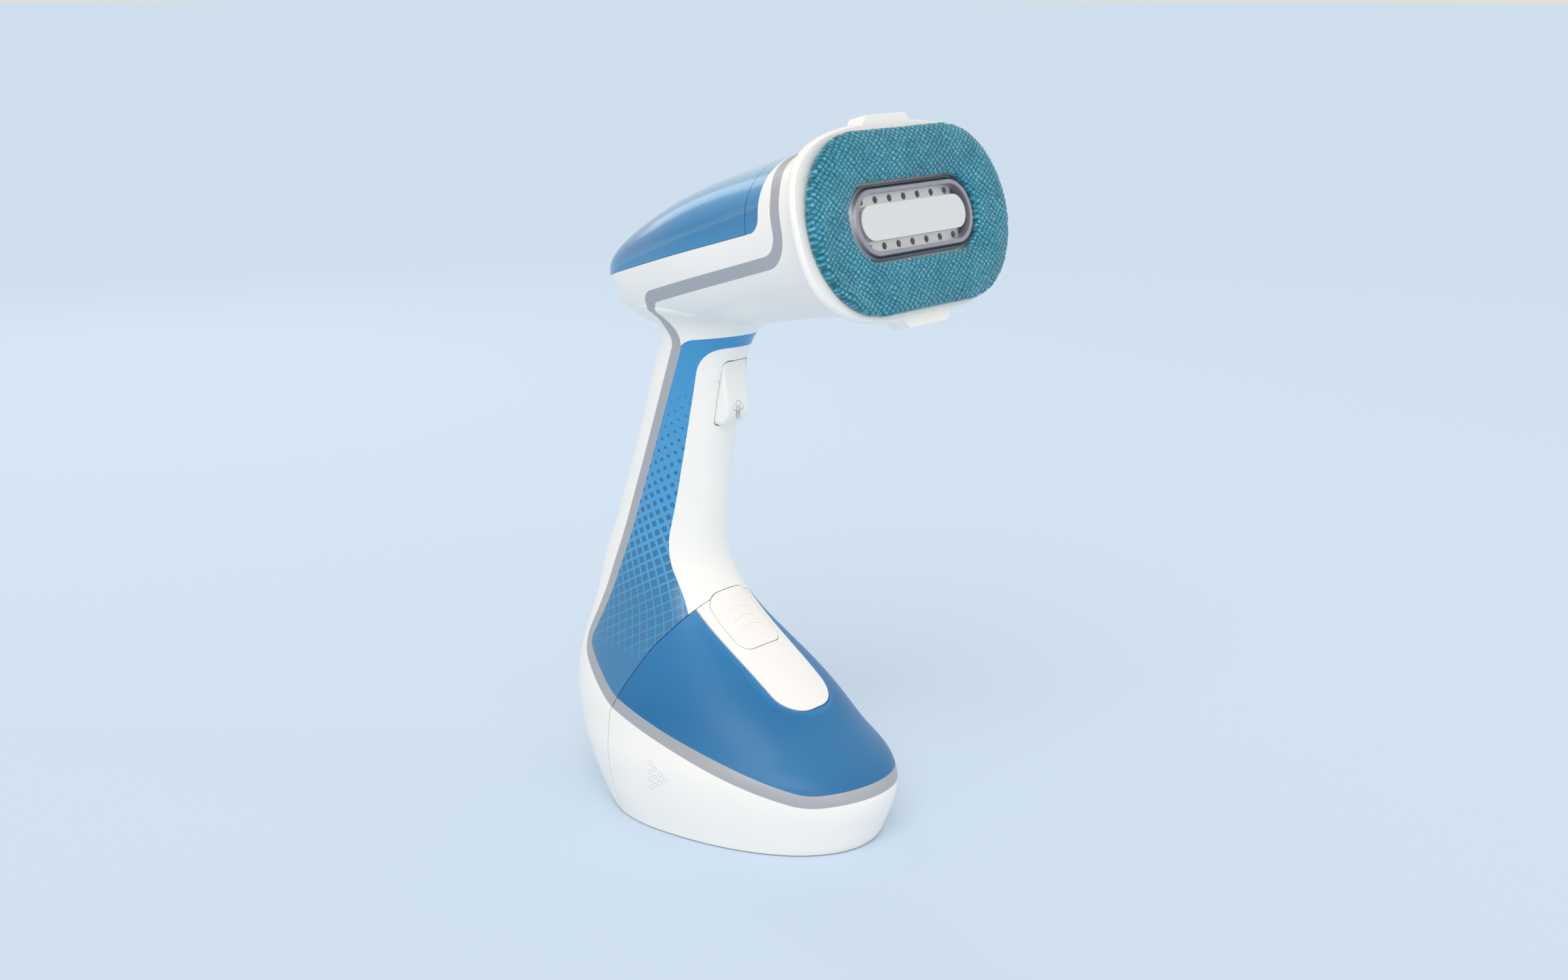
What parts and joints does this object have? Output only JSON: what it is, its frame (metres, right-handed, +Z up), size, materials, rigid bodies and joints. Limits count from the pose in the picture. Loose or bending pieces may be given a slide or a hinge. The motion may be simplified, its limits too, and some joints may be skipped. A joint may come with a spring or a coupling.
{
  "type": "handheld garment steamer",
  "caption": "Upright handheld garment steamer with a tilted head, textile steam pad, blue capsule cover, trigger handle and a detachable water tank in its base.",
  "frame": {"origin": "on the surface the steamer stands on, under the middle of its whole length and width", "axes": "+X towards the steam outlet, +Y to the steamer's left, across the plane of symmetry, +Z up"},
  "size_m": [0.2043, 0.1512, 0.341],
  "materials": {
    "white_shell": "satin white moulded ABS",
    "silver_trim": "satin silver-grey paint on plastic",
    "window_blue": "translucent light blue plastic with a printed lattice",
    "tank_blue": "frosted translucent blue plastic",
    "cover_blue": "translucent blue plastic",
    "plate_metal": "grey coated die-cast plate",
    "deflector_metal": "light satin metal",
    "cast_aluminium": "as-cast aluminium",
    "bare_steel": "bare steel",
    "rubber_grey": "matt grey rubber",
    "seal_silicone": "red silicone",
    "hose_silicone": "milky silicone",
    "inner_plastic": "unpolished white plastic",
    "pump_body": "black pump housing",
    "switch_body": "black thermoset",
    "board_green": "green laminate",
    "capsule_felt": "white felt cartridge",
    "pad_textile": "teal woven microfibre"
  },
  "bodies": {
    "handle_unit": {"rear_shell": "white_shell", "heel_cover": "white_shell", "side_trim": "silver_trim", "head_front_shell": "white_shell", "handle_window": "window_blue", "grip_panel": "white_shell", "capsule_window": "cover_blue", "cover_hinge_ears": "inner_plastic", "cover_hinge_pin": "bare_steel", "trigger_pin": "bare_steel", "dock_plate": "inner_plastic", "dock_spigot": "inner_plastic", "pump": "pump_body", "pump_mount": "inner_plastic", "suction_hose": "hose_silicone", "steam_feed_hose": "hose_silicone", "cord_gland": "rubber_grey", "steam_collar": "inner_plastic", "steam_plate": "plate_metal", "deflector": "deflector_metal", "plate_seal": "seal_silicone", "heater_block": "cast_aluminium", "heating_element": "bare_steel", "thermostat": "bare_steel", "thermal_fuse": "switch_body", "heater_bracket": "bare_steel", "capsule_tray": "inner_plastic", "tray_arms": "inner_plastic", "purifying_capsule": "capsule_felt", "switch_bracket": "inner_plastic", "microswitch": "switch_body", "trigger_spring": "bare_steel", "control_board": "board_green", "heel_feet": "rubber_grey"},
    "capsule_lid": {"capsule_cover": "cover_blue", "cover_knuckle": "cover_blue"},
    "trigger_button": {"trigger": "white_shell"},
    "water_tank": {"tank_vessel": "tank_blue", "tank_strip": "white_shell", "tank_trim": "silver_trim", "tank_base_shell": "white_shell", "tank_bottom_cover": "white_shell", "tank_feet": "rubber_grey", "tank_pillars": "inner_plastic", "bottom_screws": "bare_steel", "outlet_valve": "rubber_grey", "filler_plug": "rubber_grey", "latch_pin": "bare_steel", "latch_spring": "bare_steel"},
    "latch_button": {"tank_latch": "white_shell"},
    "pad_cover": {"pad_frame": "white_shell", "steam_pad": "pad_textile"}
  },
  "joints": [
    {"name": "trigger_press", "type": "hinge", "parent": "handle_unit", "child": "trigger_button", "pos_m": [-0.0185, 0, 0.219], "axis": [0, 1, 0], "range_deg": [0, 5], "stiffness_Nm_per_rad": 0.6, "deforming": ["trigger_spring"]},
    {"name": "tank_slide", "type": "slide", "parent": "handle_unit", "child": "water_tank", "axis": [1, 0, 0], "range_m": [0, 0.08]},
    {"name": "latch_press", "type": "hinge", "parent": "water_tank", "child": "latch_button", "pos_m": [0.00136, 0, 0.08712], "axis": [0, -1, 0], "range_deg": [0, 5], "stiffness_Nm_per_rad": 0.5, "deforming": ["latch_spring"]},
    {"name": "capsule_cover_open", "type": "hinge", "parent": "handle_unit", "child": "capsule_lid", "pos_m": [-0.07811, 0, 0.25888], "axis": [0, -1, 0], "range_deg": [0, 60]},
    {"name": "pad_pull", "type": "slide", "parent": "handle_unit", "child": "pad_cover", "axis": [0.9632, 0, 0.2689], "range_m": [0, 0.03]}
  ]
}
